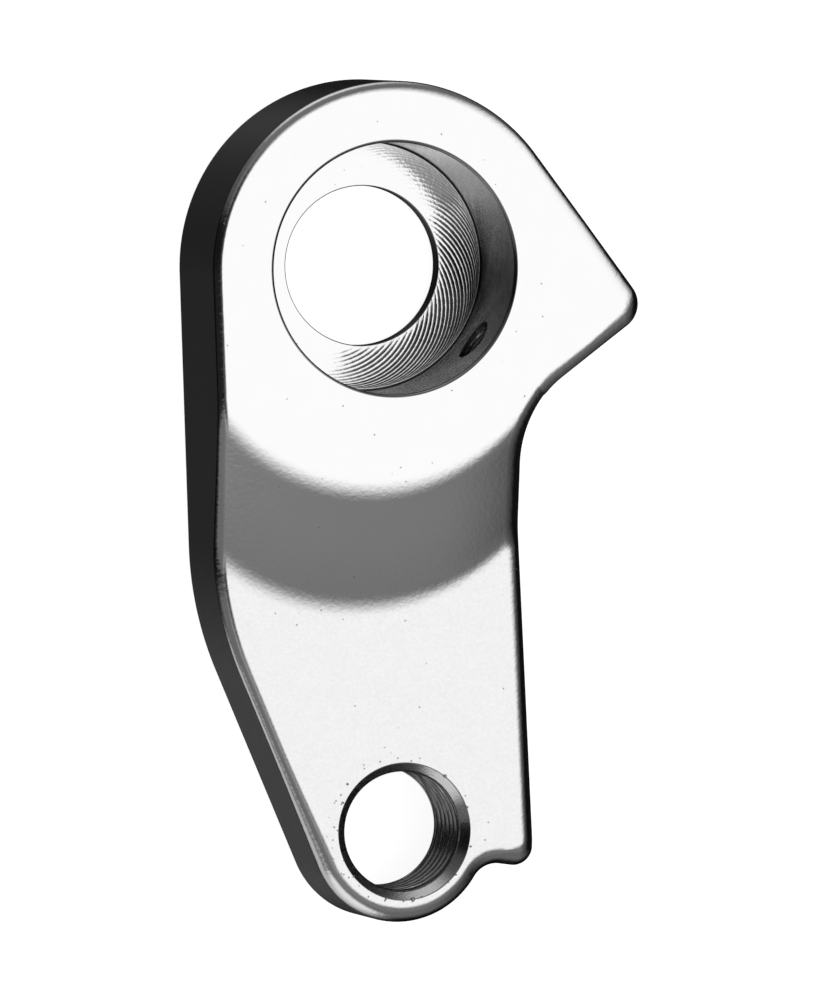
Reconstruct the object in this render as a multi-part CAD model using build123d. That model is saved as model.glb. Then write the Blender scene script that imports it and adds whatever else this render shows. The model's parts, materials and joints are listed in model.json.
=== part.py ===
from build123d import *
import math
import os

# Derailleur hanger for a thru-axle dropout, milled in one piece from aluminium plate.
# Millimetres. The origin is the axle bore's centre on the flat back face, +Z comes out of the front
# face along the bore, and -Y runs down the arm to the derailleur thread.

# Thicknesses
head_thickness = 9.75
arm_thickness = 7.5

# Axle bore and the counterbore that seats the axle's shoulder
axle_bore_radius = 6.0
ledge_thickness = 1.35
counterbore_radius = 9.4
counterbore_corner_radius = 0.3
counterbore_edge_break = 0.15

# Derailleur thread, M10 x 1, drawn as its tapping bore
thread_minor_radius = 4.46
thread_drop = 42.3
thread_chamfer = 0.7
boss_radius = 6.9

# Small tapped hole for the axle's locking screw, M4, drawn as its tapping bore
lock_hole_radius = 1.65
lock_hole_angle = -38.4

# Outline: a straight edge is given by the angle that it faces and its distance from the axle
head_radius = 14.0
tab_upper_angle = 35.5
tab_lower_angle = -55.5
tab_lower_step = 0.55
tab_tip_radius = 2.0
throat_radius = 7.5
arm_edge_angle = 1.1
slope_angle = 201.3
bend_radius = 26.0

# The stop beside the boss: how far it stands out past the boss, and below the thread's centre
stop_angle = -100.0
stop_reach = 2.55
stop_drop = 0.8
stop_corner_radius = 1.5
stop_notch_radius = 2.6

# Ramp from the thick head down to the arm. Its first radius clears the throat's nearest point.
ramp_clearance = 0.31
ramp_slope = 14.5
ramp_blend_radius = 8.0

# Edges
front_edge_radius = 1.4
back_edge_radius = 0.4

# Slack used to pick edges by their height and walls by how upright they stand
pick_margin = 0.01


def facing(angle):
    return Vector(math.cos(math.radians(angle)), math.sin(math.radians(angle)))


def corner_centre(edge_a, edge_b, radius):
    """Centre of the arc that rounds two straight edges' corner. An inside corner's radius is negative."""
    a = facing(edge_a[0])
    b = facing(edge_b[0])
    turn = a.X * b.Y - a.Y * b.X
    x = (edge_a[1] * b.Y - edge_b[1] * a.Y) / turn
    y = (edge_b[1] * a.X - edge_a[1] * b.X) / turn
    return Vector(x, y) - (a + b) * (radius / (1 + a.dot(b)))


def corner_arc(edge_a, edge_b, radius):
    centre = corner_centre(edge_a, edge_b, radius)
    a = facing(edge_a[0]) * radius
    b = facing(edge_b[0]) * radius
    middle = (a + b).normalized() * abs(radius)
    return ThreePointArc(centre + a, centre + middle, centre + b)


# Straight edges of the outline, as angle and distance
boss_centre = Vector(0, -thread_drop)
back_edge = (180, head_radius)
tab_upper = (tab_upper_angle, head_radius)
tab_lower = (tab_lower_angle, head_radius + tab_lower_step)
arm_edge = (arm_edge_angle, boss_radius + stop_reach)
stop_edge = (stop_angle, thread_drop + stop_drop)
slope_edge = (slope_angle, boss_centre.dot(facing(slope_angle)) + boss_radius)

# The throat is the inside corner between the tab and the arm
throat_centre = corner_centre(tab_lower, arm_edge, -throat_radius)
ramp_start_radius = throat_centre.length - throat_radius + ramp_clearance


def outline():
    """The hanger's profile, clockwise from the head: straight edges joined by tangent arcs."""
    stop = facing(stop_angle)
    height = stop_edge[1] + stop_notch_radius - boss_centre.dot(stop)
    reach = math.sqrt((boss_radius + stop_notch_radius) ** 2 - height ** 2)
    notch_centre = boss_centre + stop * height + facing(stop_angle + 90) * reach
    to_notch = (notch_centre - boss_centre).normalized()
    notch_middle = notch_centre - (to_notch + stop).normalized() * stop_notch_radius
    notch_end = boss_centre + to_notch * boss_radius
    boss_turn = math.degrees(math.atan2(to_notch.Y, to_notch.X)) + 360 - slope_angle
    boss_middle = boss_centre + facing(slope_angle + boss_turn / 2) * boss_radius
    boss_end = boss_centre + facing(slope_angle) * boss_radius
    arcs = [
        corner_arc(back_edge, tab_upper, head_radius),
        corner_arc(tab_upper, tab_lower, tab_tip_radius),
        corner_arc(tab_lower, arm_edge, -throat_radius),
        corner_arc(arm_edge, stop_edge, stop_corner_radius),
        ThreePointArc(notch_centre - stop * stop_notch_radius, notch_middle, notch_end),
        ThreePointArc(notch_end, boss_middle, boss_end),
        corner_arc(slope_edge, back_edge, bend_radius),
    ]
    straights = []
    for arc, following in zip(arcs, arcs[1:] + arcs[:1]):
        gap = following @ 0 - arc @ 1
        if gap.length > 0.001:
            straights.append(Line(arc @ 1, following @ 0))
    return make_face(arcs + straights)


def ramp_cutter():
    """What is milled off above the arm: a turned slope with a blend at its top and its foot."""
    slope = math.radians(ramp_slope)
    drop = head_thickness - arm_thickness
    blend_run = ramp_blend_radius * math.sin(slope)
    blend_drop = ramp_blend_radius * (1 - math.cos(slope))
    slope_run = (drop - 2 * blend_drop) / math.tan(slope)
    start = (ramp_start_radius, head_thickness)
    crest = (ramp_start_radius + blend_run, head_thickness - blend_drop)
    foot = (crest[0] + slope_run, arm_thickness + blend_drop)
    end = (foot[0] + blend_run, arm_thickness)
    outer = thread_drop + 2 * boss_radius
    top = head_thickness + arm_thickness
    lines = [
        TangentArc(start, crest, tangent=(1, 0)),
        Line(crest, foot),
        TangentArc(foot, end, tangent=(math.cos(slope), -math.sin(slope))),
        Polyline(end, (outer, arm_thickness), (outer, top), (ramp_start_radius, top), start),
    ]
    # The cut begins at the left edge and ends at the throat, where the head is narrower than the
    # ramp's first radius, so that the tab keeps its full thickness.
    first = -180 + math.degrees(math.acos(head_radius / ramp_start_radius)) / 2
    last = math.degrees(math.atan2(throat_centre.Y, throat_centre.X))
    profile = Rot(0, 0, first) * (Plane.XZ * make_face(lines))
    return revolve(profile, Axis.Z, last - first)


def counterbore():
    """The stepped axle bore: the through hole, and the seat above its ledge with a broken rim."""
    bore = extrude(Circle(axle_bore_radius), head_thickness)
    seat = Pos(0, 0, ledge_thickness) * extrude(Circle(counterbore_radius), head_thickness)
    seat = fillet(seat.edges().sort_by(Axis.Z)[0], counterbore_corner_radius)
    return bore + seat + lead_in(counterbore_radius, counterbore_edge_break, head_thickness, 1)


def lead_in(radius, size, height, way):
    """A 45 degree chamfer that opens a bore of this radius at this height, upwards or downwards."""
    wide = radius + size
    if way > 0:
        return Pos(0, 0, height - size / 2) * Cone(radius, wide, size)
    return Pos(0, 0, height + size / 2) * Cone(wide, radius, size)


def derailleur_bore():
    bore = extrude(Circle(thread_minor_radius), arm_thickness)
    bore += lead_in(thread_minor_radius, thread_chamfer, arm_thickness, 1)
    bore += lead_in(thread_minor_radius, thread_chamfer, 0, -1)
    return Pos(boss_centre) * bore


def lock_hole():
    """Runs from the counterbore's wall out to the throat, half-way up the seat."""
    height = ledge_thickness + (head_thickness - ledge_thickness) / 2
    radial = Plane(origin=(0, 0, height), z_dir=facing(lock_hole_angle))
    return radial * extrude(Circle(lock_hole_radius), 2 * head_radius)


def rim(body, lowest, highest):
    """Edges of the body's outer walls that lie between two heights."""
    walls = body.faces().filter_by(lambda face: abs(face.normal_at().Z) < pick_margin)
    edges = []
    for edge in walls.edges():
        box = edge.bounding_box()
        if box.min.Z > lowest - pick_margin and box.max.Z < highest + pick_margin:
            edges.append(edge)
    return edges


def hanger_body():
    body = extrude(outline(), head_thickness) - ramp_cutter()
    body = fillet(rim(body, arm_thickness, head_thickness), front_edge_radius)
    body = fillet(rim(body, 0, 0), back_edge_radius)
    return body - counterbore() - derailleur_bore() - lock_hole()


os.makedirs("parts", exist_ok=True)
export_step(hanger_body(), "parts/hanger_body.step")
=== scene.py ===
import json
import math

import bmesh
import bpy
import numpy as np
from mathutils import Matrix, Vector
from mathutils.geometry import delaunay_2d_cdt


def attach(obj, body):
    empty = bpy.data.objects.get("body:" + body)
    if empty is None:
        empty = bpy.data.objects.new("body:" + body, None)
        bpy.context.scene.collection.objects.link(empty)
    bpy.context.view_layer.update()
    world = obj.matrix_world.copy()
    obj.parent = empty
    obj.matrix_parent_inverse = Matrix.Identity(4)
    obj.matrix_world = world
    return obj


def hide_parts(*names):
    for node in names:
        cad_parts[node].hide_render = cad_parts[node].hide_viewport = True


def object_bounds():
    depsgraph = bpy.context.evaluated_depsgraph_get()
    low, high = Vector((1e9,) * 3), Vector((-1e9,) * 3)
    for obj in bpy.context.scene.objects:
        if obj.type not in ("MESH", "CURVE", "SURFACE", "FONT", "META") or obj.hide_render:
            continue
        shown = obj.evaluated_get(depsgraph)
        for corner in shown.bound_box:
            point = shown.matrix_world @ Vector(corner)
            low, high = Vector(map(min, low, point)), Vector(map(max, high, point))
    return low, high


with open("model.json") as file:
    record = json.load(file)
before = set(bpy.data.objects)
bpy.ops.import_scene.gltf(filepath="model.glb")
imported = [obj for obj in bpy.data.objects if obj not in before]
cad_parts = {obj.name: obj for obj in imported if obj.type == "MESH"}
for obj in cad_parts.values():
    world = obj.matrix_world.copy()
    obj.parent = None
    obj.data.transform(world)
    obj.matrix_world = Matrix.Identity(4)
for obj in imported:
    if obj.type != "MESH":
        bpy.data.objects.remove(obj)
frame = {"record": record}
cad_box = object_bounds()

# Lengths are in millimetres until a mesh is made of them, and angles in degrees.
MM = 0.001
MOUNTS = {mount["name"]: mount for mount in frame["record"]["mounts"]}


def mount_radius(name):
    return MOUNTS[name]["dims"]["r_mm"]


# Thicknesses
HEAD_TOP = cad_box[1].z / MM
ARM_TOP = 7.5
LEDGE_TOP = 1.35

# Axle bore, counterbore and threads, as the record has them
BORE_RADIUS = mount_radius("axle_bore")
SEAT_RADIUS = mount_radius("counterbore")
THREAD_RADIUS = mount_radius("derailleur_thread")
LOCK_RADIUS = mount_radius("lock_screw_hole")
THREAD_CENTRE = np.array(MOUNTS["derailleur_thread"]["pos_m"][:2]) / MM
LOCK_AXIS = np.array(MOUNTS["lock_screw_hole"]["axis"][:2])
LOCK_HEIGHT = MOUNTS["lock_screw_hole"]["pos_m"][2] / MM

# Outline: a straight edge is the angle that it faces and its distance from the axle
HEAD_RADIUS = 14.0
BOSS_RADIUS = 6.9
STOP_ANGLE = -100.0
STOP_REACH = 2.55
STOP_DROP = 0.9
NOTCH_RADIUS = 2.0
TAB_TIP_RADIUS = 2.0
THROAT_RADIUS = 7.5
STOP_CORNER_RADIUS = 1.3
BEND_RADIUS = 26.0
SLOPE_ANGLE = -158.7
BACK_EDGE = (-180, HEAD_RADIUS)
TAB_UPPER = (35.5, HEAD_RADIUS)
TAB_LOWER = (-55.5, HEAD_RADIUS + 0.55)
ARM_EDGE = (1.1, BOSS_RADIUS + STOP_REACH)
STOP_EDGE = (STOP_ANGLE, STOP_DROP - THREAD_CENTRE[1])

# Rounding of the front edge, across the face and down the wall: where each arc of the outline starts,
# where it ends, and half-way along the straight after it
ROUNDING = {
    "head": ((0.62, 0.6), (1.0, 0.45), (1.35, 0.45)),
    "tab_tip": ((1.7, 0.6), (1.4, 0.75), (1.0, 0.7)),
    "throat": ((1.15, 0.6), (1.3, 0.5), (1.2, 0.65)),
    "stop_corner": ((1.2, 0.9), (1.2, 1.2), (1.3, 1.2)),
    "notch": ((1.35, 1.2), (1.45, 1.5), (1.45, 1.5)),
    "boss": ((1.45, 1.55), (1.15, 1.55), (0.85, 0.9)),
    "bend": ((0.85, 0.85), (0.8, 0.8), (0.7, 0.5)),
}
BACK_ROUNDING = 0.4
OUTLINE_STEP = 0.22
OUTLINE_TURN = 3.0

# The stop's face falls away, at this slope, past a line given by its angle and its distance from the
# axle. It does so right of STOP_SIDE, and fully from STOP_SIDE_BLEND further on.
STOP_FALL_LINE = (-70.4, 44.25)
STOP_FALL = 0.32
STOP_FALL_BLEND = 0.35
STOP_SIDE = 5.5
STOP_SIDE_BLEND = 1.5

# Ramp: it lies between two circles, each a centre and a radius. Its blends start and end at these
# shares of the way from the upper circle to the lower one.
RAMP_UPPER = (np.array([-1.52, -1.49]), 15.24)
RAMP_LOWER = (np.array([-2.68, -8.28]), 17.07)
RAMP_BLENDS = (-0.133, 0.098, 0.876, 1.107)

# Rims of the bores, and the counterbore's floor with its cutter marks, which are deepest on one side
RIM_BREAK = 0.24
LEDGE_BREAK = 0.08
FLOOR_CORNER = 0.14
CUTTER_RADIUS = 6.0
CUTTER_PASSES = 64
CUTTER_SEED = 4
DEEP_SIDE = -40.0
DEEP_RIDGE = 0.032
SHALLOW_RIDGE = 0.002

# How finely the mesh is divided: points round the counterbore and the derailleur thread, rows across
# the floor and along the threads, and the spacing of points on plain faces, the ramp and the stop,
# which lies in STOP_SPAN along Y. Points closer than WELD_DISTANCE are made one.
STEPS_PER_PASS = 8
RING = CUTTER_PASSES * STEPS_PER_PASS
THREAD_RING = 240
FLOOR_ROWS = 17
THREAD_ROWS = 74
LOCK_ROWS = 56
PLAIN_STEP = 1.6
RAMP_STEP = 0.5
STOP_STEP = 0.33
STOP_SPAN = (-46.1, -42.9)
WELD_DISTANCE = 0.002

# Threads: M10 x 1 in the boss, with a chamfer at both ends, and M4 x 0.7 in the head. A depth is the
# groove's, and THREAD_TOP is the height at which the derailleur thread ends.
THREAD_PITCH = 1.0
THREAD_DEPTH = 0.54
THREAD_TOP = 6.45
LEAD_IN = 0.7
LOCK_PITCH = 0.7
LOCK_DEPTH = 0.36

# Burrs and specks round the derailleur thread's mouth: angle, distance from its centre, and radius
BURRS = (
    (74.7, 5.14, 0.084),
    (50.3, 5.2, 0.144),
    (17.4, 5.2, 0.12),
    (-15.3, 5.34, 0.096),
    (-41.5, 5.22, 0.096),
    (-50.3, 5.18, 0.084),
    (-76.6, 5.14, 0.096),
    (-84.7, 5.16, 0.18),
    (-92.9, 5.25, 0.072),
    (-108.3, 5.26, 0.096),
    (-142.4, 5.16, 0.108),
    (107.9, 5.62, 0.072),
    (121.4, 5.74, 0.06),
    (138.8, 5.78, 0.108),
    (152.8, 5.38, 0.084),
    (155.4, 5.94, 0.06),
    (-176.8, 5.64, 0.06),
    (26.6, 5.44, 0.06),
)


class Value:
    """One socket of a node tree, for maths written as a Python expression."""

    def __init__(self, tree, socket):
        self.tree = tree
        self.socket = socket

    def maths(self, operation, *others):
        return self.tree.maths(operation, self, *others)

    def __add__(self, other):
        return self.maths("ADD", other)

    def __sub__(self, other):
        return self.maths("SUBTRACT", other)

    def __mul__(self, other):
        return self.maths("MULTIPLY", other)

    def __truediv__(self, other):
        return self.maths("DIVIDE", other)

    def __radd__(self, other):
        return self.tree.maths("ADD", other, self)

    def __rsub__(self, other):
        return self.tree.maths("SUBTRACT", other, self)

    def __rmul__(self, other):
        return self.tree.maths("MULTIPLY", other, self)

    def __rtruediv__(self, other):
        return self.tree.maths("DIVIDE", other, self)

    def smooth(self, low, high):
        """0 below low, 1 above high, and a smooth rise between them."""
        node = {"interpolation_type": "SMOOTHSTEP"}
        inputs = {"Value": self, "From Min": low, "From Max": high}
        return self.tree.add("ShaderNodeMapRange", node, inputs)


class Tree:
    """A shader or geometry node tree that is built up call by call."""

    def __init__(self, nodes):
        self.nodes = nodes

    def add(self, kind, settings, inputs, output=0):
        node = self.nodes.nodes.new(kind)
        for name, value in settings.items():
            setattr(node, name, value)
        for name, value in inputs.items():
            socket = node.inputs[name]
            if isinstance(value, Value):
                self.nodes.links.new(value.socket, socket)
            else:
                socket.default_value = value
        return Value(self, node.outputs[output])

    def output(self, value, name):
        """Another output of the node that this value comes from."""
        return Value(self, value.socket.node.outputs[name])

    def maths(self, operation, *terms):
        return self.add("ShaderNodeMath", {"operation": operation}, dict(enumerate(terms)))

    def parts(self, vector):
        """The X, Y and Z of a vector."""
        x = self.add("ShaderNodeSeparateXYZ", {}, {"Vector": vector})
        return x, self.output(x, "Y"), self.output(x, "Z")

    def vector(self, x, y, z):
        return self.add("ShaderNodeCombineXYZ", {}, {"X": x, "Y": y, "Z": z})

    def mixed(self, share, start, end):
        """A colour between two others."""
        return self.add("ShaderNodeMix", {"data_type": "RGBA"}, {0: share, 6: start, 7: end}, 2)

    def noise(self, place, scale, detail=2.0):
        """Soft noise either side of 0, with this many waves to a millimetre."""
        inputs = {"Vector": place, "Scale": scale, "Detail": detail}
        return self.add("ShaderNodeTexNoise", {}, inputs) - 0.5

    def pits(self, place, density, size):
        """1 in small round pits: so many to a cubic millimetre, up to this radius."""
        near = self.add("ShaderNodeTexVoronoi", {}, {"Vector": place, "Scale": density})
        return 1 - (near / density).smooth(size * 0.5, size)


# Patches: a patch is its points, its faces and its normals at the points. They are welded later.


def patch(points, faces, normals):
    return np.asarray(points, float), faces, np.asarray(normals, float)


def unit(angle):
    return np.array([math.cos(math.radians(angle)), math.sin(math.radians(angle))])


def unit_rows(rows):
    return rows / np.linalg.norm(rows, axis=-1, keepdims=True)


def lifted(flat, height):
    """Points of a plan at a height."""
    return np.column_stack([flat, np.broadcast_to(height, len(flat))])


def grid_faces(rows, columns, closed=True):
    """Quads between rings of points, or between open rows."""
    row, column = np.meshgrid(np.arange(rows - 1), np.arange(columns - (not closed)), indexing="ij")
    following = (column + 1) % columns
    corners = [row * columns + column, row * columns + following]
    corners += [(row + 1) * columns + following, (row + 1) * columns + column]
    return np.stack(corners, -1).reshape(-1, 4).tolist()


def strip(rings, normals, closed=True):
    rings = np.asarray(rings)
    faces = grid_faces(len(rings), rings.shape[1], closed)
    return patch(rings.reshape(-1, 3), faces, np.asarray(normals).reshape(-1, 3))


def inside(points, loop):
    """Which points of a plan lie inside a closed loop."""
    x, y = points[:, 0:1], points[:, 1:2]
    ahead = np.roll(loop, -1, axis=0)
    crosses = (loop[:, 1] > y) != (ahead[:, 1] > y)
    rise = np.where(ahead[:, 1] == loop[:, 1], 1, ahead[:, 1] - loop[:, 1])
    at = loop[:, 0] + (y - loop[:, 1]) * (ahead[:, 0] - loop[:, 0]) / rise
    return (crosses & (x < at)).sum(1) % 2 == 1


def filled(outer, holes, extra):
    """Triangles that fill a plan between an outer loop and its holes, through extra points."""
    keep = inside(extra, outer)
    for hole in holes:
        keep &= ~inside(extra, hole)
    loops = [outer, *holes]
    edges = []
    first = 0
    for loop in loops:
        edges += [(first + i, first + (i + 1) % len(loop)) for i in range(len(loop))]
        first += len(loop)
    points = np.vstack([*loops, extra[keep]])
    made = delaunay_2d_cdt([Vector(point) for point in points], edges, [], 0, 1e-7)
    flat = np.array([tuple(point) for point in made[0]])
    triangles = np.array(made[2])
    a, b, c = (flat[triangles[:, i]] for i in range(3))
    area = np.abs((b - a)[:, 0] * (c - a)[:, 1] - (b - a)[:, 1] * (c - a)[:, 0])
    triangles = triangles[area > 1e-5]
    middle = flat[triangles].mean(1)
    used = inside(middle, outer)
    for hole in holes:
        used &= ~inside(middle, hole)
    return flat, triangles[used].tolist()


def lattice(low, high, step):
    x, y = np.meshgrid(np.arange(low[0], high[0], step), np.arange(low[1], high[1], step))
    return np.column_stack([x.ravel(), y.ravel()])


# Outline


def corner_centre(edge_a, edge_b, radius):
    """Centre of the arc that rounds the corner of two straight edges. An inside corner has a negative
    radius."""
    a, b = unit(edge_a[0]), unit(edge_b[0])
    corner = np.linalg.solve([a, b], [edge_a[1], edge_b[1]])
    return corner - (a + b) * radius / (1 + a @ b)


def corner(name, edge_a, edge_b, radius):
    return name, corner_centre(edge_a, edge_b, radius), radius, edge_a[0], edge_b[0]


def outline_arcs():
    """The arcs of the outline, clockwise: name, centre, radius, and the angles that they face."""
    stop = unit(STOP_ANGLE)
    height = STOP_EDGE[1] + NOTCH_RADIUS - THREAD_CENTRE @ stop
    reach = math.sqrt((BOSS_RADIUS + NOTCH_RADIUS) ** 2 - height**2)
    notch = THREAD_CENTRE + stop * height + unit(STOP_ANGLE + 90) * reach
    to_notch = math.degrees(math.atan2(*(notch - THREAD_CENTRE)[::-1]))
    slope = (SLOPE_ANGLE, THREAD_CENTRE @ unit(SLOPE_ANGLE) + BOSS_RADIUS)
    return [
        ("head", np.zeros(2), HEAD_RADIUS, 180, TAB_UPPER[0]),
        corner("tab_tip", TAB_UPPER, TAB_LOWER, TAB_TIP_RADIUS),
        corner("throat", TAB_LOWER, ARM_EDGE, -THROAT_RADIUS),
        corner("stop_corner", ARM_EDGE, STOP_EDGE, STOP_CORNER_RADIUS),
        ("notch", notch, -NOTCH_RADIUS, STOP_ANGLE, to_notch),
        ("boss", THREAD_CENTRE, BOSS_RADIUS, to_notch, SLOPE_ANGLE),
        corner("bend", slope, BACK_EDGE, BEND_RADIUS),
    ]


def outline():
    """Points of the outline, the ways that they face, and the front edge's rounding at each."""
    points, normals, anchors, sizes = [], [], [], []
    arcs = outline_arcs()
    length = 0.0
    for (name, centre, radius, start, end), after in zip(arcs, arcs[1:] + arcs[:1]):
        arc = abs(radius) * math.radians(abs(end - start))
        count = max(2, round(max(arc / OUTLINE_STEP, abs(end - start) / OUTLINE_TURN)))
        for share in np.arange(count + 1) / count:
            facing = unit(start + (end - start) * share)
            points.append(centre + radius * facing)
            normals.append(facing)
        anchors += [length, length + arc]
        sizes += ROUNDING[name]
        length += arc
        gap = after[1] + after[2] * unit(after[3]) - points[-1]
        straight = np.linalg.norm(gap)
        anchors.append(length + straight / 2)
        steps = round(straight / OUTLINE_STEP)
        for step in range(1, steps):
            points.append(points[-1] + gap / steps)
            normals.append(normals[-1])
        length += straight
    points, normals = np.array(points), np.array(normals)
    fresh = np.linalg.norm(points - np.roll(points, 1, axis=0), axis=1) > 0.001
    points, normals = points[fresh], normals[fresh]
    steps = np.linalg.norm(np.roll(points, -1, axis=0) - points, axis=1)
    along = np.concatenate([[0], np.cumsum(steps)[:-1]])
    window = 9
    rounding = []
    for size in np.transpose(sizes):
        found = np.interp(along, anchors, size, period=length)
        padded = np.concatenate([found[-window:], found, found[:window]])
        rounding.append(np.convolve(padded, np.ones(2 * window + 1) / (2 * window + 1), "valid"))
    return points, normals, np.column_stack(rounding)


# Ramp


def ramp_share(flat):
    """How far down the ramp a point of the plan lies: 0 on its upper circle and 1 on its lower one."""
    shift = RAMP_LOWER[0] - RAMP_UPPER[0]
    growth = RAMP_LOWER[1] - RAMP_UPPER[1]
    from_centre = flat - RAMP_UPPER[0]
    a = shift @ shift - growth**2
    b = -2 * (from_centre @ shift) - 2 * RAMP_UPPER[1] * growth
    c = (from_centre**2).sum(1) - RAMP_UPPER[1] ** 2
    share = (-b - np.sqrt(np.maximum(b * b - 4 * a * c, 0))) / (2 * a)
    throat = corner_centre(TAB_LOWER, ARM_EDGE, -THROAT_RADIUS)
    above_throat = flat[:, 0] * throat[1] - flat[:, 1] * throat[0] < 0
    on_tab = above_throat & (flat[:, 0] > 0)
    return np.where(on_tab, -1.0, share)


def front_height(flat):
    """Height of the front face before its edge is rounded."""
    start, painted_crest_shade, foot, end = RAMP_BLENDS
    shares = np.linspace(start, end, 400)
    slope = np.clip((shares - start) / (painted_crest_shade - start), 0, 1)
    slope = slope * np.clip((end - shares) / (end - foot), 0, 1)
    fallen = np.cumsum(slope) - slope[0]
    ramp = np.interp(ramp_share(flat), shares, fallen / fallen[-1])
    past = np.maximum(flat @ unit(STOP_FALL_LINE[0]) - STOP_FALL_LINE[1], 0)
    on_stop = np.clip((flat[:, 0] - STOP_SIDE) / STOP_SIDE_BLEND, 0, 1)
    fall = STOP_FALL * on_stop * (np.hypot(past, STOP_FALL_BLEND) - STOP_FALL_BLEND)
    return HEAD_TOP - (HEAD_TOP - ARM_TOP) * ramp - fall


def front_slope(flat):
    """How fast the front face rises along X and along Y."""
    step = 0.05
    rise = [front_height(flat + step * way) - front_height(flat - step * way) for way in np.eye(2)]
    return np.column_stack(rise) / (2 * step)


# Patches of the hanger's body


def rounded_edge(points, facing, rounding):
    """The front edge's rounding, from the outer wall to the front face."""
    rings, normals = [], []
    across, down = rounding[:, :1], rounding[:, 1:]
    for turn in np.radians(np.linspace(0, 90, 13)):
        flat = points - facing * across * (1 - math.cos(turn))
        rings.append(lifted(flat, front_height(flat) - down[:, 0] * (1 - math.sin(turn))))
        rise = across * math.sin(turn)
        way = facing * down * math.cos(turn) - front_slope(flat) * rise
        normals.append(unit_rows(np.hstack([way, rise])))
    return rings, normals


def back_edge(points, facing):
    rings, normals = [], []
    for turn in np.radians(np.linspace(0, 90, 6)):
        flat = points - facing * BACK_ROUNDING * (1 - math.cos(turn))
        rings.append(lifted(flat, BACK_ROUNDING * (1 - math.sin(turn))))
        normals.append(lifted(facing * math.cos(turn), -math.sin(turn)))
    return rings, normals


def ring(radius, height, centre=(0, 0), count=RING, turn=0.0):
    angles = 2 * np.pi * np.arange(count) / count + turn
    flat = np.column_stack([np.cos(angles), np.sin(angles)]) * radius + centre
    return lifted(flat, height)


def turned(profile, centre=(0, 0), count=RING, turn=0.0):
    """A turned surface inside the part. Its profile's rows are radius, height, and how the surface
    faces: 0 is towards the axis and 90 is up."""
    rings, normals = [], []
    for radius, height, facing in profile:
        rings.append(ring(radius, height, centre, count, turn))
        inward = -ring(math.cos(math.radians(facing)), 0, (0, 0), count, turn)
        inward[:, 2] = math.sin(math.radians(facing))
        normals.append(inward)
    return strip(rings, normals)


def corner_profile(radius, height, size, start, end, steps=5):
    """Profile of a quarter round whose centre is at this radius and height."""
    rows = []
    for facing in np.linspace(start, end, steps):
        turn = math.radians(facing)
        rows.append((radius - size * math.cos(turn), height + size * math.sin(turn), facing))
    return rows


def hollow_profile(radius, height, size, steps=5):
    """Profile of the hollow corner between a bore's wall and its floor."""
    rows = []
    for facing in np.linspace(0, 90, steps):
        turn = math.radians(facing)
        across, up = radius - size + size * math.cos(turn), height + size - size * math.sin(turn)
        rows.append((across, up, facing))
    return rows


def hole_loop(count=72):
    """Across and height of the points round the lock screw's hole, seen along its axis."""
    angles = 2 * np.pi * np.arange(count) / count
    return LOCK_RADIUS * np.cos(angles), LOCK_HEIGHT + LOCK_RADIUS * np.sin(angles)


def pierced_wall(points, facing, low, high, window=2.4):
    """An upright wall with the lock screw's hole through it: its patches, and the loop of the hole."""
    side = np.array([-LOCK_AXIS[1], LOCK_AXIS[0]])
    across = points @ side
    near = np.flatnonzero((np.abs(across) < window) & (points @ LOCK_AXIS > 0))
    if near[0] == 0 and near[-1] == len(points) - 1:
        split = np.flatnonzero(np.diff(near) > 1)[0] + 1
        near = np.concatenate([near[split:], near[:split]])
    after = np.roll(np.arange(len(points)), -near[-1])
    rest = after[: len(points) - len(near) + 2]
    walls = [strip([lifted(points, low)[rest], lifted(points, high)[rest]],
                   [lifted(facing, 0)[rest]] * 2, closed=False)]
    spots, ways = points[near], facing[near]
    along = np.concatenate([[0], np.cumsum(np.linalg.norm(np.diff(spots, axis=0), axis=1))])
    high = np.broadcast_to(high, len(points))[near]
    outer = np.vstack([np.column_stack([along, np.full(len(near), low)]),
                       np.column_stack([along, high])[::-1]])
    loop_across, loop_height = hole_loop()
    order = np.argsort(spots @ side)
    loop_along = np.interp(loop_across, (spots @ side)[order], along[order])
    hole = np.column_stack([loop_along, loop_height])
    columns, rows = np.meshgrid(along[1:-1:2], np.arange(low + 0.4, high.min() - 0.3, 0.4))
    extra = np.column_stack([columns.ravel(), rows.ravel()])
    middle = hole.mean(0)
    extra = extra[np.linalg.norm(extra - middle, axis=1) > LOCK_RADIUS * 1.15]
    flat, faces = filled(outer, [hole], extra)
    plan = np.column_stack([np.interp(flat[:, 0], along, spots[:, i]) for i in range(2)])
    turn = unit_rows(np.column_stack([np.interp(flat[:, 0], along, ways[:, i]) for i in range(2)]))
    walls.append(patch(lifted(plan, flat[:, 1]), faces, lifted(turn, 0)))
    loop = np.column_stack([np.interp(loop_along, along, spots[:, i]) for i in range(2)])
    return walls, lifted(loop, loop_height)


def geometry_tree(name, sizes):
    """A geometry node tree with an input for each size. Returns it and the inputs by name."""
    tree = bpy.data.node_groups.new(name, "GeometryNodeTree")
    tree.interface.new_socket("Geometry", in_out="OUTPUT", socket_type="NodeSocketGeometry")
    kinds = {int: "NodeSocketInt", float: "NodeSocketFloat"}
    for size, value in sizes.items():
        socket = tree.interface.new_socket(size, in_out="INPUT", socket_type=kinds[type(value)])
        socket.default_value = value
    nodes = Tree(tree)
    group = tree.nodes.new("NodeGroupInput")
    return nodes, {size: Value(nodes, group.outputs[size]) for size in sizes}


def finish_tree(nodes, geometry, material):
    real = nodes.add("GeometryNodeRealizeInstances", {}, {"Geometry": geometry})
    inputs = {"Geometry": real, "Material": material}
    painted = nodes.add("GeometryNodeSetMaterial", {}, inputs)
    output = nodes.nodes.nodes.new("NodeGroupOutput")
    nodes.nodes.links.new(painted.socket, output.inputs["Geometry"])


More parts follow.
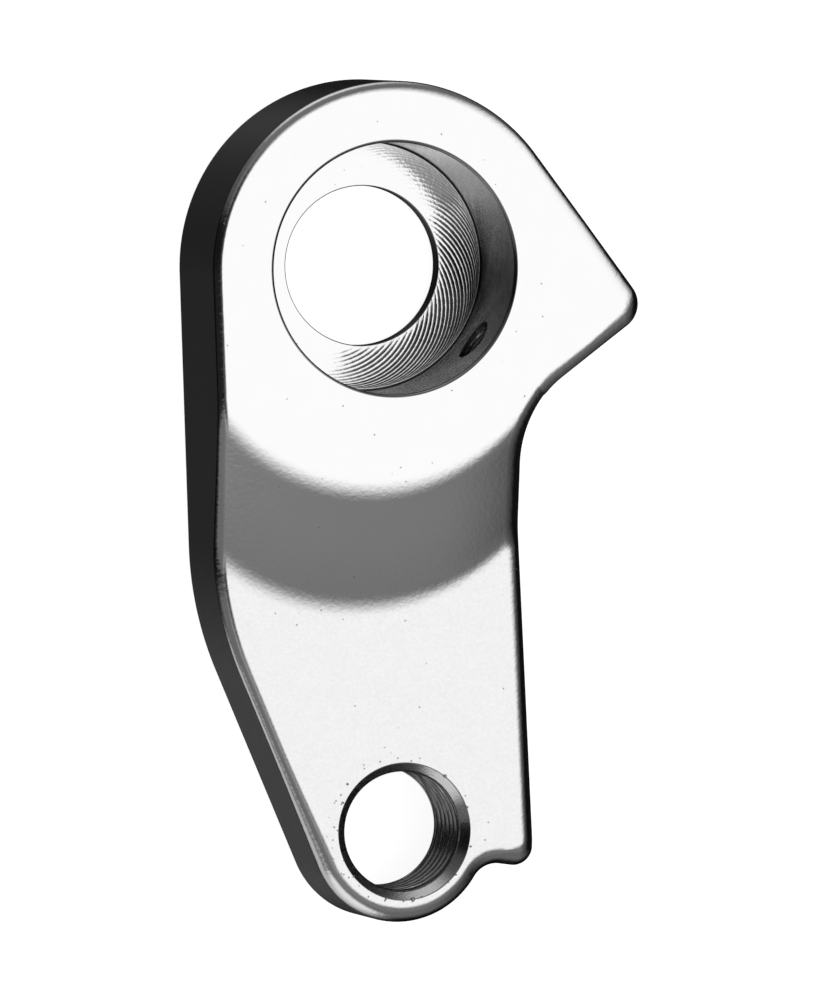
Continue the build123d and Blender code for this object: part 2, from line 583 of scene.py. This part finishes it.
def made_by(nodes, sizes):
    """The plain mesh that a geometry node tree makes at these sizes."""
    carrier = bpy.data.objects.new("carrier", bpy.data.meshes.new("carrier"))
    bpy.context.scene.collection.objects.link(carrier)
    modifier = carrier.modifiers.new("made", "NODES")
    modifier.node_group = nodes.nodes
    sockets = {item.name: item.identifier for item in nodes.nodes.interface.items_tree}
    for size, value in sizes.items():
        modifier[sockets[size]] = value
    graph = bpy.context.evaluated_depsgraph_get()
    mesh = bpy.data.meshes.new_from_object(carrier.evaluated_get(graph))
    bpy.data.objects.remove(carrier)
    return mesh


def unit_grid(nodes, columns, rows):
    """A grid of points, with how far each lies along its two sides, from 0 to 1."""
    inputs = {"Size X": 1.0, "Size Y": 1.0, "Vertices X": columns, "Vertices Y": rows}
    grid = nodes.add("GeometryNodeMeshGrid", {}, inputs)
    place = nodes.add("GeometryNodeInputPosition", {}, {})
    x, y, _ = nodes.parts(place)
    return grid, x + 0.5, y + 0.5


def placed(nodes, geometry, x, y, z):
    inputs = {"Geometry": geometry, "Position": nodes.vector(x, y, z)}
    return nodes.add("GeometryNodeSetPosition", {}, inputs)


def thread_turns(material, **sizes):
    """The wall of a threaded bore along Z: a helical groove that runs out at both ends."""
    nodes, size = geometry_tree("thread_turns", sizes)
    grid, around, along = unit_grid(nodes, size["Columns"], size["Rows"])
    height = size["Low"] + (size["High"] - size["Low"]) * along
    turn = (height / size["Pitch"] - around).maths("FRACT")
    from_crest = ((turn - 0.5) * 2).maths("ABSOLUTE")
    groove = from_crest.smooth(0.4, 0.92)
    ends = (height - size["Low"]).maths("MINIMUM", size["High"] - height)
    depth = groove * ends.smooth(0.05, 0.6) * size["Depth"]
    radius = size["Radius"] + depth
    angle = around * math.tau
    moved = placed(nodes, grid, radius * angle.maths("COSINE"), radius * angle.maths("SINE"), height)
    finish_tree(nodes, moved, material)
    return made_by(nodes, sizes)


def milled_floor(material, **sizes):
    """The counterbore's floor: each pass of the end mill leaves an arc that touches the wall. The
    ridges between passes are highest on the deep side."""
    nodes, size = geometry_tree("milled_floor", sizes)
    grid, around, along = unit_grid(nodes, size["Columns"], size["Rows"])
    orbit = size["Outer radius"] - size["Cutter radius"]
    to_cutter = around * math.tau
    swing = to_cutter + along * size["Arc"]
    x = orbit * to_cutter.maths("COSINE") + size["Cutter radius"] * swing.maths("COSINE")
    y = orbit * to_cutter.maths("SINE") + size["Cutter radius"] * swing.maths("SINE")
    stroke = around * size["Passes"]
    from_valley = (stroke.maths("FRACT") - 0.5) * 2
    least, greatest = 2, 3
    inputs = {least: 0.55, greatest: 1.2, "ID": (stroke + 0.001).maths("FLOOR"), "Seed": size["Seed"]}
    draw = nodes.add("FunctionNodeRandomValue", {"data_type": "FLOAT"}, inputs, 1)
    ends = along.smooth(0.0, 0.14) * (1 - along.smooth(0.92, 1.0))
    from_axle = (x * x + y * y).maths("SQRT")
    deep_side = x * size["Deep side"].maths("COSINE") + y * size["Deep side"].maths("SINE")
    bite = (deep_side / from_axle).smooth(0.2, 0.75)
    depth = size["Shallow ridge"] + (size["Deep ridge"] - size["Shallow ridge"]) * bite
    ridge = from_valley * from_valley * draw * ends * depth
    finish_tree(nodes, placed(nodes, grid, x, y, size["Height"] + ridge), material)
    return made_by(nodes, sizes)


def tree_patch(mesh, facing):
    """A patch of a mesh that a tree made. facing gives roughly the way that each point faces."""
    points = np.empty(len(mesh.vertices) * 3)
    mesh.vertices.foreach_get("co", points)
    points = points.reshape(-1, 3)
    faces = [tuple(face.vertices) for face in mesh.polygons]
    bpy.data.meshes.remove(mesh)
    quads = np.array(faces)
    a, b, c, d = (points[quads[:, i]] for i in range(4))
    across = np.cross(c - a, d - b)
    normals = np.zeros_like(points)
    for column in range(4):
        np.add.at(normals, quads[:, column], across)
    wanted = facing(points)
    normals = normals * np.sign((normals * wanted).sum(1, keepdims=True))
    return points, faces, unit_rows(normals)


def towards_axis(points):
    return lifted(-points[:, :2], 0)


def upwards(points):
    return np.tile([0.0, 0.0, 1.0], (len(points), 1))


def weld(name, surfaces):
    """One mesh of all the surfaces' patches. Its corners keep the patches' own normals."""
    shape = bmesh.new()
    kept = shape.loops.layers.float_vector.new("patch_normal")
    numbered = [(material, made) for material, patches in enumerate(surfaces) for made in patches]
    for material, (points, faces, normals) in numbered:
        corners = [shape.verts.new(point * MM) for point in points]
        for face in faces:
            ways = [normals[i] for i in face]
            a, b, c = (points[i] for i in (face[0], face[1], face[-1]))
            if np.cross(b - a, c - a) @ sum(ways) < 0:
                face = list(face)[::-1]
                ways = ways[::-1]
            made = shape.faces.new([corners[i] for i in face])
            made.smooth = True
            made.material_index = material
            for loop, way in zip(made.loops, ways):
                loop[kept] = way
    bmesh.ops.remove_doubles(shape, verts=shape.verts, dist=WELD_DISTANCE * MM)
    mesh = bpy.data.meshes.new(name)
    shape.to_mesh(mesh)
    shape.free()
    ways = np.empty(len(mesh.loops) * 3, np.float32)
    mesh.attributes["patch_normal"].data.foreach_get("vector", ways)
    mesh.attributes.remove(mesh.attributes["patch_normal"])
    mesh.normals_split_custom_set(unit_rows(ways.reshape(-1, 3)).tolist())
    return mesh


# Finishes


def bare_metal(name, surface):
    """A bare alloy. surface gives its tint from dark to bright, its roughness and its relief in mm."""
    material = bpy.data.materials.new(name)
    material.use_nodes = True
    tree = Tree(material.node_tree)
    coordinates = tree.output(tree.add("ShaderNodeTexCoord", {}, {}), "Object")
    inputs = {"Vector": coordinates, "Scale": 1 / MM}
    place = tree.add("ShaderNodeVectorMath", {"operation": "SCALE"}, inputs)
    tint, roughness, relief = surface(tree, place)
    shader = material.node_tree.nodes["Principled BSDF"]
    shader.inputs["Metallic"].default_value = 1.0
    looks = {
        "Base Color": tree.mixed(tint, (0.1, 0.1, 0.1, 1), (0.87, 0.87, 0.875, 1)),
        "Roughness": roughness,
        "Normal": tree.add("ShaderNodeBump", {}, {"Height": relief, "Distance": MM}),
    }
    for socket, value in looks.items():
        material.node_tree.links.new(value.socket, shader.inputs[socket])
    return material


def polished(tree, place):
    """The tumbled front: faintly uneven, more so over its edges, and darkened on the arm by painted
    shade with blotches of uneven tone. Its small pits crowd round the derailleur thread's mouth, on the
    left."""
    upright = tree.parts(tree.output(tree.add("ShaderNodeNewGeometry", {}, {}), "Normal"))[2]
    edge = 1 - upright.smooth(0.9, 0.985)
    x, y, height = tree.parts(place)
    across, up = x - float(THREAD_CENTRE[0]), y - float(THREAD_CENTRE[1])
    from_mouth = (across * across + up * up).maths("SQRT") - THREAD_RADIUS - LEAD_IN
    crowd = (1 - from_mouth.smooth(0.1, 1.2)) * (1 - across.smooth(-1.0, 3.0) * 0.9)
    pit = tree.pits(place, 0.8, 0.06) + tree.pits(place, 2.1, 0.07) * crowd
    peel = tree.noise(place, 2.9) * (edge * 0.004 + 0.009) + tree.noise(place, 9.0) * 0.0025
    relief = peel - pit * 0.03
    roughness = tree.noise(place, 0.5) * 0.06 + 0.11
    # Painted shade darkens the arm in colour; the noise breaks it into blotches of uneven tone.
    arm_shade_and_blotches = 0.1 + tree.noise(place, 0.9) * 0.05 + tree.noise(place, 5.0) * 0.14
    on_arm = 1 - height.smooth(ARM_TOP + 0.1, ARM_TOP + 1.5)
    return 1 - pit * 0.6 - on_arm * arm_shade_and_blotches, roughness, relief


def sawn(tree, place):
    """The outer walls and the back: duller, with faint marks across them."""
    x, y, z = tree.parts(place)
    marks = tree.noise(tree.vector(x, y, z * 0.3), 2.2, 3.0)
    return 1 - tree.pits(place, 0.9, 0.07) * 0.5, marks * 0.1 + 0.22, marks * 0.0015


def turned_bore(tree, place):
    """Bores and their rims: fine tool marks run round them, over a low tint that paints shade on them.
    """
    x, y, z = tree.parts(place)
    lines = tree.noise(tree.vector(x * 0.35, y * 0.35, z * 8.0), 1.0, 3.0)
    grain = tree.noise(place, 5.0)
    # The low base tint is painted shade on the bores and their rims; the streaks in it are tool marks.
    tint = 0.4 + lines * 0.3 - tree.pits(place, 1.2, 0.05) * 0.5
    return tint, lines * 0.2 + 0.14, lines * 0.002 + grain * 0.001


def milled(tree, place):
    """The counterbore's floor, torn, with painted shade darkening the crests of the cutter's marks."""
    tears = tree.noise(place, 4.0, 3.0)
    # Painted shade: the crests of the cutter's marks are darkened in colour, with ragged edges.
    painted_crest_shade = (tree.parts(place)[2] + tears * 0.012).smooth(LEDGE_TOP + 0.006, LEDGE_TOP + 0.014)
    tint = 1 - tree.pits(place, 1.1, 0.06) * 0.7 - painted_crest_shade * 0.95
    return tint, tears * 0.08 + 0.1, tears * 0.008


def tapped(tree, place):
    """The threads, left rough by the tap."""
    tears = tree.noise(place, 6.0, 3.0)
    return tears * 0.3 + 0.7, tears * 0.2 + 0.17, tears * 0.008


# The hanger


def burrs():
    """Small lumps of metal, sunk a little into the front face round the derailleur thread's mouth."""
    ball = bmesh.new()
    bmesh.ops.create_icosphere(ball, subdivisions=2, radius=1)
    points = np.array([vertex.co for vertex in ball.verts])
    faces = [[vertex.index for vertex in face.verts] for face in ball.faces]
    ball.free()
    lumps = []
    for angle, distance, radius in BURRS:
        middle = np.append(THREAD_CENTRE + unit(angle) * distance, ARM_TOP - radius / 6)
        lumps.append(patch(points * radius + middle, faces, points))
    return lumps


def hanger_body(finishes):
    surfaces = {name: [] for name in finishes}
    points, facing, rounding = outline()
    front, front_ways = rounded_edge(points, facing, rounding)
    back, back_ways = back_edge(points, facing)
    surfaces["polished"].append(strip(front, front_ways))
    surfaces["sawn"].append(strip(back, back_ways))

    walls, exit_loop = pierced_wall(points, facing, BACK_ROUNDING, front[0][:, 2])
    surfaces["sawn"] += walls
    seat = ring(SEAT_RADIUS, 0)[:, :2]
    rim_foot = HEAD_TOP - RIM_BREAK
    walls, entry_loop = pierced_wall(seat, -seat / SEAT_RADIUS, LEDGE_TOP + FLOOR_CORNER, rim_foot)
    surfaces["turned"] += walls

    rim = SEAT_RADIUS + RIM_BREAK
    surfaces["turned"].append(turned(corner_profile(rim, rim_foot, RIM_BREAK, 0, 90)))
    surfaces["milled"].append(turned(hollow_profile(SEAT_RADIUS, LEDGE_TOP, FLOOR_CORNER)))

    floor_outer = SEAT_RADIUS - FLOOR_CORNER
    floor_inner = BORE_RADIUS + LEDGE_BREAK
    orbit = floor_outer - CUTTER_RADIUS
    arc = math.acos((floor_inner**2 - orbit**2 - CUTTER_RADIUS**2) / (2 * orbit * CUTTER_RADIUS))
    floor = milled_floor(finishes["milled"], **{
        "Outer radius": floor_outer, "Cutter radius": CUTTER_RADIUS, "Arc": arc, "Height": LEDGE_TOP,
        "Deep side": math.radians(DEEP_SIDE), "Deep ridge": DEEP_RIDGE, "Shallow ridge": SHALLOW_RIDGE,
        "Passes": CUTTER_PASSES, "Columns": RING + 1, "Rows": FLOOR_ROWS, "Seed": CUTTER_SEED})
    surfaces["milled"].append(tree_patch(floor, upwards))
    twist = math.atan2(CUTTER_RADIUS * math.sin(arc), orbit + CUTTER_RADIUS * math.cos(arc))
    bore = corner_profile(floor_inner, LEDGE_TOP - LEDGE_BREAK, LEDGE_BREAK, 90, 0)
    bore += corner_profile(floor_inner, LEDGE_BREAK, LEDGE_BREAK, 0, -90)
    surfaces["turned"].append(turned(bore, turn=twist))

    soft = 0.05
    mouth = THREAD_RADIUS + LEAD_IN
    lead_foot = ARM_TOP - LEAD_IN
    lead = [
        (mouth + soft, ARM_TOP, 90),
        (mouth, ARM_TOP - soft / 2, 60),
        (mouth - soft, ARM_TOP - 2 * soft, 45),
        (THREAD_RADIUS + 0.15, lead_foot + 0.15, 45),
        (THREAD_RADIUS + 0.04, lead_foot, 30),
        (THREAD_RADIUS, lead_foot - 0.12, 0),
        (THREAD_RADIUS, THREAD_TOP, 0),
    ]
    surfaces["tapped"].append(turned(lead, THREAD_CENTRE, THREAD_RING))
    tail = [(THREAD_RADIUS, LEAD_IN, -45), (mouth, 0, -45)]
    surfaces["turned"].append(turned(tail, THREAD_CENTRE, THREAD_RING))
    turns = thread_turns(finishes["tapped"], **{
        "Radius": THREAD_RADIUS, "Depth": THREAD_DEPTH, "Pitch": THREAD_PITCH, "Low": LEAD_IN,
        "High": THREAD_TOP, "Columns": THREAD_RING + 1, "Rows": THREAD_ROWS})
    wall = tree_patch(turns, towards_axis)
    wall[0][:, :2] += THREAD_CENTRE
    surfaces["tapped"].append(wall)
    surfaces["tapped"] += lock_bore(entry_loop, exit_loop, finishes["tapped"])
    surfaces["polished"] += burrs()

    rims = [ring(rim, 0)[:, :2], ring(mouth + soft, 0, THREAD_CENTRE, THREAD_RING)[:, :2]]
    inner = front[-1][:, :2]
    extra = lattice(inner.min(0), inner.max(0), RAMP_STEP)
    share = ramp_share(extra)
    extra = extra[(share > -0.2) & (share < 1.2)]
    stop_low, stop_high = STOP_SPAN
    stop_right = inner[inner[:, 1] < stop_high - 0.1][:, 0].max() + 0.1
    over_arm = lattice(inner.min(0) + 0.3, inner.max(0), PLAIN_STEP)
    over_stop = lattice((STOP_SIDE + 0.1, stop_low), (stop_right, stop_high), STOP_STEP)
    extra = np.vstack([extra, over_arm, over_stop])
    flat, faces = filled(inner, rims, extra)
    ways = unit_rows(lifted(-front_slope(flat), 1.0))
    surfaces["polished"].append(patch(lifted(flat, front_height(flat)), faces, ways))

    rims = [ring(floor_inner, 0, turn=twist)[:, :2], ring(mouth, 0, THREAD_CENTRE, THREAD_RING)[:, :2]]
    inner = back[-1][:, :2]
    flat, faces = filled(inner, rims, lattice(inner.min(0), inner.max(0), PLAIN_STEP))
    surfaces["sawn"].append(patch(lifted(flat, 0.0), faces, -upwards(flat)))

    mesh = weld("hanger", surfaces.values())
    for finish in finishes.values():
        mesh.materials.append(finish)
    return bpy.data.objects.new("hanger", mesh)


def lock_bore(entry_loop, exit_loop, finish):
    """The lock screw's threaded hole, from its loop on the counterbore's wall to the throat's."""
    along = np.append(LOCK_AXIS, 0)
    side = np.array([-LOCK_AXIS[1], LOCK_AXIS[0], 0])
    low = float((entry_loop @ along).max()) + 0.1
    high = float((exit_loop @ along).min()) - 0.1
    count = len(entry_loop)
    turns = thread_turns(finish, **{
        "Radius": LOCK_RADIUS, "Depth": LOCK_DEPTH, "Pitch": LOCK_PITCH, "Low": low,
        "High": high, "Columns": count + 1, "Rows": LOCK_ROWS})
    points, faces, ways = tree_patch(turns, towards_axis)
    basis = np.array([side, [0, 0, 1], along])
    shift = np.array([0, 0, LOCK_HEIGHT])
    turned_ways = ways @ basis
    patches = [patch(points @ basis + shift, faces, turned_ways)]
    angles = 2 * np.pi * np.arange(count) / count
    inward = -(np.outer(np.cos(angles), side) + np.outer(np.sin(angles), [0, 0, 1]))
    for loop, at in ((entry_loop, low), (exit_loop, high)):
        straight = -inward * LOCK_RADIUS + along * at + shift
        patches.append(strip([loop, straight], [inward, inward]))
    return patches


# Camera: how the object is turned before the lens, and where its origin lies from the lens
CAMERA_YAW = 17.365
CAMERA_PITCH = 3.298
CAMERA_ROLL = 1.860
ORIGIN_FROM_LENS = Vector((-4.442, 17.694, -923.811)) * MM
FOCAL_PIXELS = 12264.6
PHOTO_WIDTH = 831
SENSOR_WIDTH = 36.0


def add_camera():
    yaw = Matrix.Rotation(math.radians(CAMERA_YAW), 3, "Y")
    pitch = Matrix.Rotation(math.radians(CAMERA_PITCH), 3, "X")
    roll = Matrix.Rotation(math.radians(CAMERA_ROLL), 3, "Z")
    to_object = (roll @ pitch @ yaw).transposed()
    camera = bpy.data.objects.new("camera", bpy.data.cameras.new("camera"))
    camera.data.sensor_width = SENSOR_WIDTH
    camera.data.sensor_fit = "HORIZONTAL"
    camera.data.lens = FOCAL_PIXELS * SENSOR_WIDTH / PHOTO_WIDTH
    camera.matrix_world = Matrix.Translation(-(to_object @ ORIGIN_FROM_LENS)) @ to_object.to_4x4()
    bpy.context.scene.collection.objects.link(camera)
    bpy.context.scene.camera = camera


def add_floor():
    bpy.ops.mesh.primitive_plane_add(size=3.0, location=(0, 0, -0.02 * MM))
    floor = bpy.context.object
    floor.name = "floor"
    floor.visible_glossy = False
    material = bpy.data.materials.new("pale_floor")
    material.use_nodes = True
    shader = material.node_tree.nodes["Principled BSDF"]
    shader.inputs["Base Color"].default_value = (0.9, 0.9, 0.9, 1)
    shader.inputs["Roughness"].default_value = 1.0
    shader.inputs["Specular IOR Level"].default_value = 0.0
    shader.inputs["Emission Color"].default_value = (1, 1, 1, 1)
    shader.inputs["Emission Strength"].default_value = 0.9
    floor.data.materials.append(material)


def add_studio():
    """Soft light all round: a grey dome, a long soft box over it, two low strips, a low lamp and a dark
    card at the left, and a dark lens above, over a dark ground. Each is a soft-edged region of the
    directions x, y and z."""
    world = bpy.data.worlds.new("studio")
    bpy.context.scene.world = world
    world.use_nodes = True
    tree = Tree(world.node_tree)
    way = tree.add("ShaderNodeTexCoord", {}, {})
    x, y, z = tree.parts(tree.output(way, "Generated"))

    lower_end = y + 0.31 - (x - 0.35).maths("MAXIMUM", 0.0) * 0.65
    upper_end = y * 0.94 - x * 0.342
    right_end = x - y * 0.5
    soft_box = lower_end.smooth(-0.17, 0.2) * (1 - upper_end.smooth(-0.1, 0.42))
    soft_box = soft_box * x.smooth(-0.64, -0.38)
    soft_box = soft_box * (1 - right_end.smooth(0.5, 0.82)) * z.smooth(0.25, 0.75)
    soft_box = soft_box * (x.smooth(-0.25, 0.25) * 0.42 + 0.55)

    right_shade = x.smooth(0.45, 0.85) * 0.6 + x.smooth(0.78, 0.92) * 0.38
    left_shade = (x * -1).smooth(0.4, 0.85) * y.smooth(-0.1, 0.1) * 0.55
    lower_glow = (y * -1).smooth(0.2, 0.6) * z.smooth(0.4, 0.8) * 0.06
    dome = (1 - right_shade) * (1 - left_shade) * z.smooth(-0.5, 0.1) * (0.15 + lower_glow)

    top_side = y - (x + 0.1).maths("ABSOLUTE") * 0.45
    top_strip = top_side.smooth(0.5, 0.95) * z.smooth(-0.45, 0.0) * (1 - z.smooth(0.2, 0.6)) * 0.55
    lower_side = x * -0.469 - y * 0.883
    lower_strip = lower_side.smooth(0.82, 0.97) * z.smooth(-0.8, -0.05)
    lower_strip = lower_strip * (1 - z.smooth(0.15, 0.6)) * 0.75
    under = (y * 0.375 - x * 0.927).smooth(0.0, 0.33) * (z * -1).smooth(0.55, 0.8)
    ground = (0.058 - under * 0.046) * (1 - x.smooth(0.0, 0.28) * 0.9)
    ground = ground * (1 - z.smooth(-0.2, 0.2) * 0.8)

    slant = (x * -0.165 - y * 0.986) / (x * -1).maths("MAXIMUM", 0.1)
    low_lamp = (x * -0.8 - y * 0.6).smooth(0.35, 0.7) * slant.smooth(0.5, 0.75) * 0.5
    low_lamp = low_lamp * z.smooth(-0.88, -0.72) * (1 - z.smooth(-0.5, -0.15))
    card = (x * -1).smooth(0.3, 0.44) * slant.smooth(-0.45, -0.15) * (1 - slant.smooth(0.31, 0.43))
    lens = (z * 0.955 - x * 0.294 + y * 0.038).smooth(0.9135, 0.985)
    light = soft_box + dome + top_strip + lower_strip + low_lamp + ground
    light = light * (1 - card * 0.9) * (1 - lens * 0.88)
    background = world.node_tree.nodes["Background"]
    colour = tree.mixed(light * 0.5, (0, 0, 0, 1), (2, 2, 2, 1))
    world.node_tree.links.new(colour.socket, background.inputs["Color"])
    world.cycles.sampling_method = "MANUAL"
    world.cycles.sample_map_resolution = 1024


add_camera()
add_floor()
add_studio()
bpy.context.scene.view_settings.view_transform = "Standard"

hanger = hanger_body({
    "polished": bare_metal("polished_front", polished),
    "sawn": bare_metal("sawn_sides", sawn),
    "turned": bare_metal("turned_bores", turned_bore),
    "milled": bare_metal("milled_floor", milled),
    "tapped": bare_metal("tapped_threads", tapped),
})
bpy.context.scene.collection.objects.link(hanger)
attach(hanger, "root")
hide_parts("hanger_body")
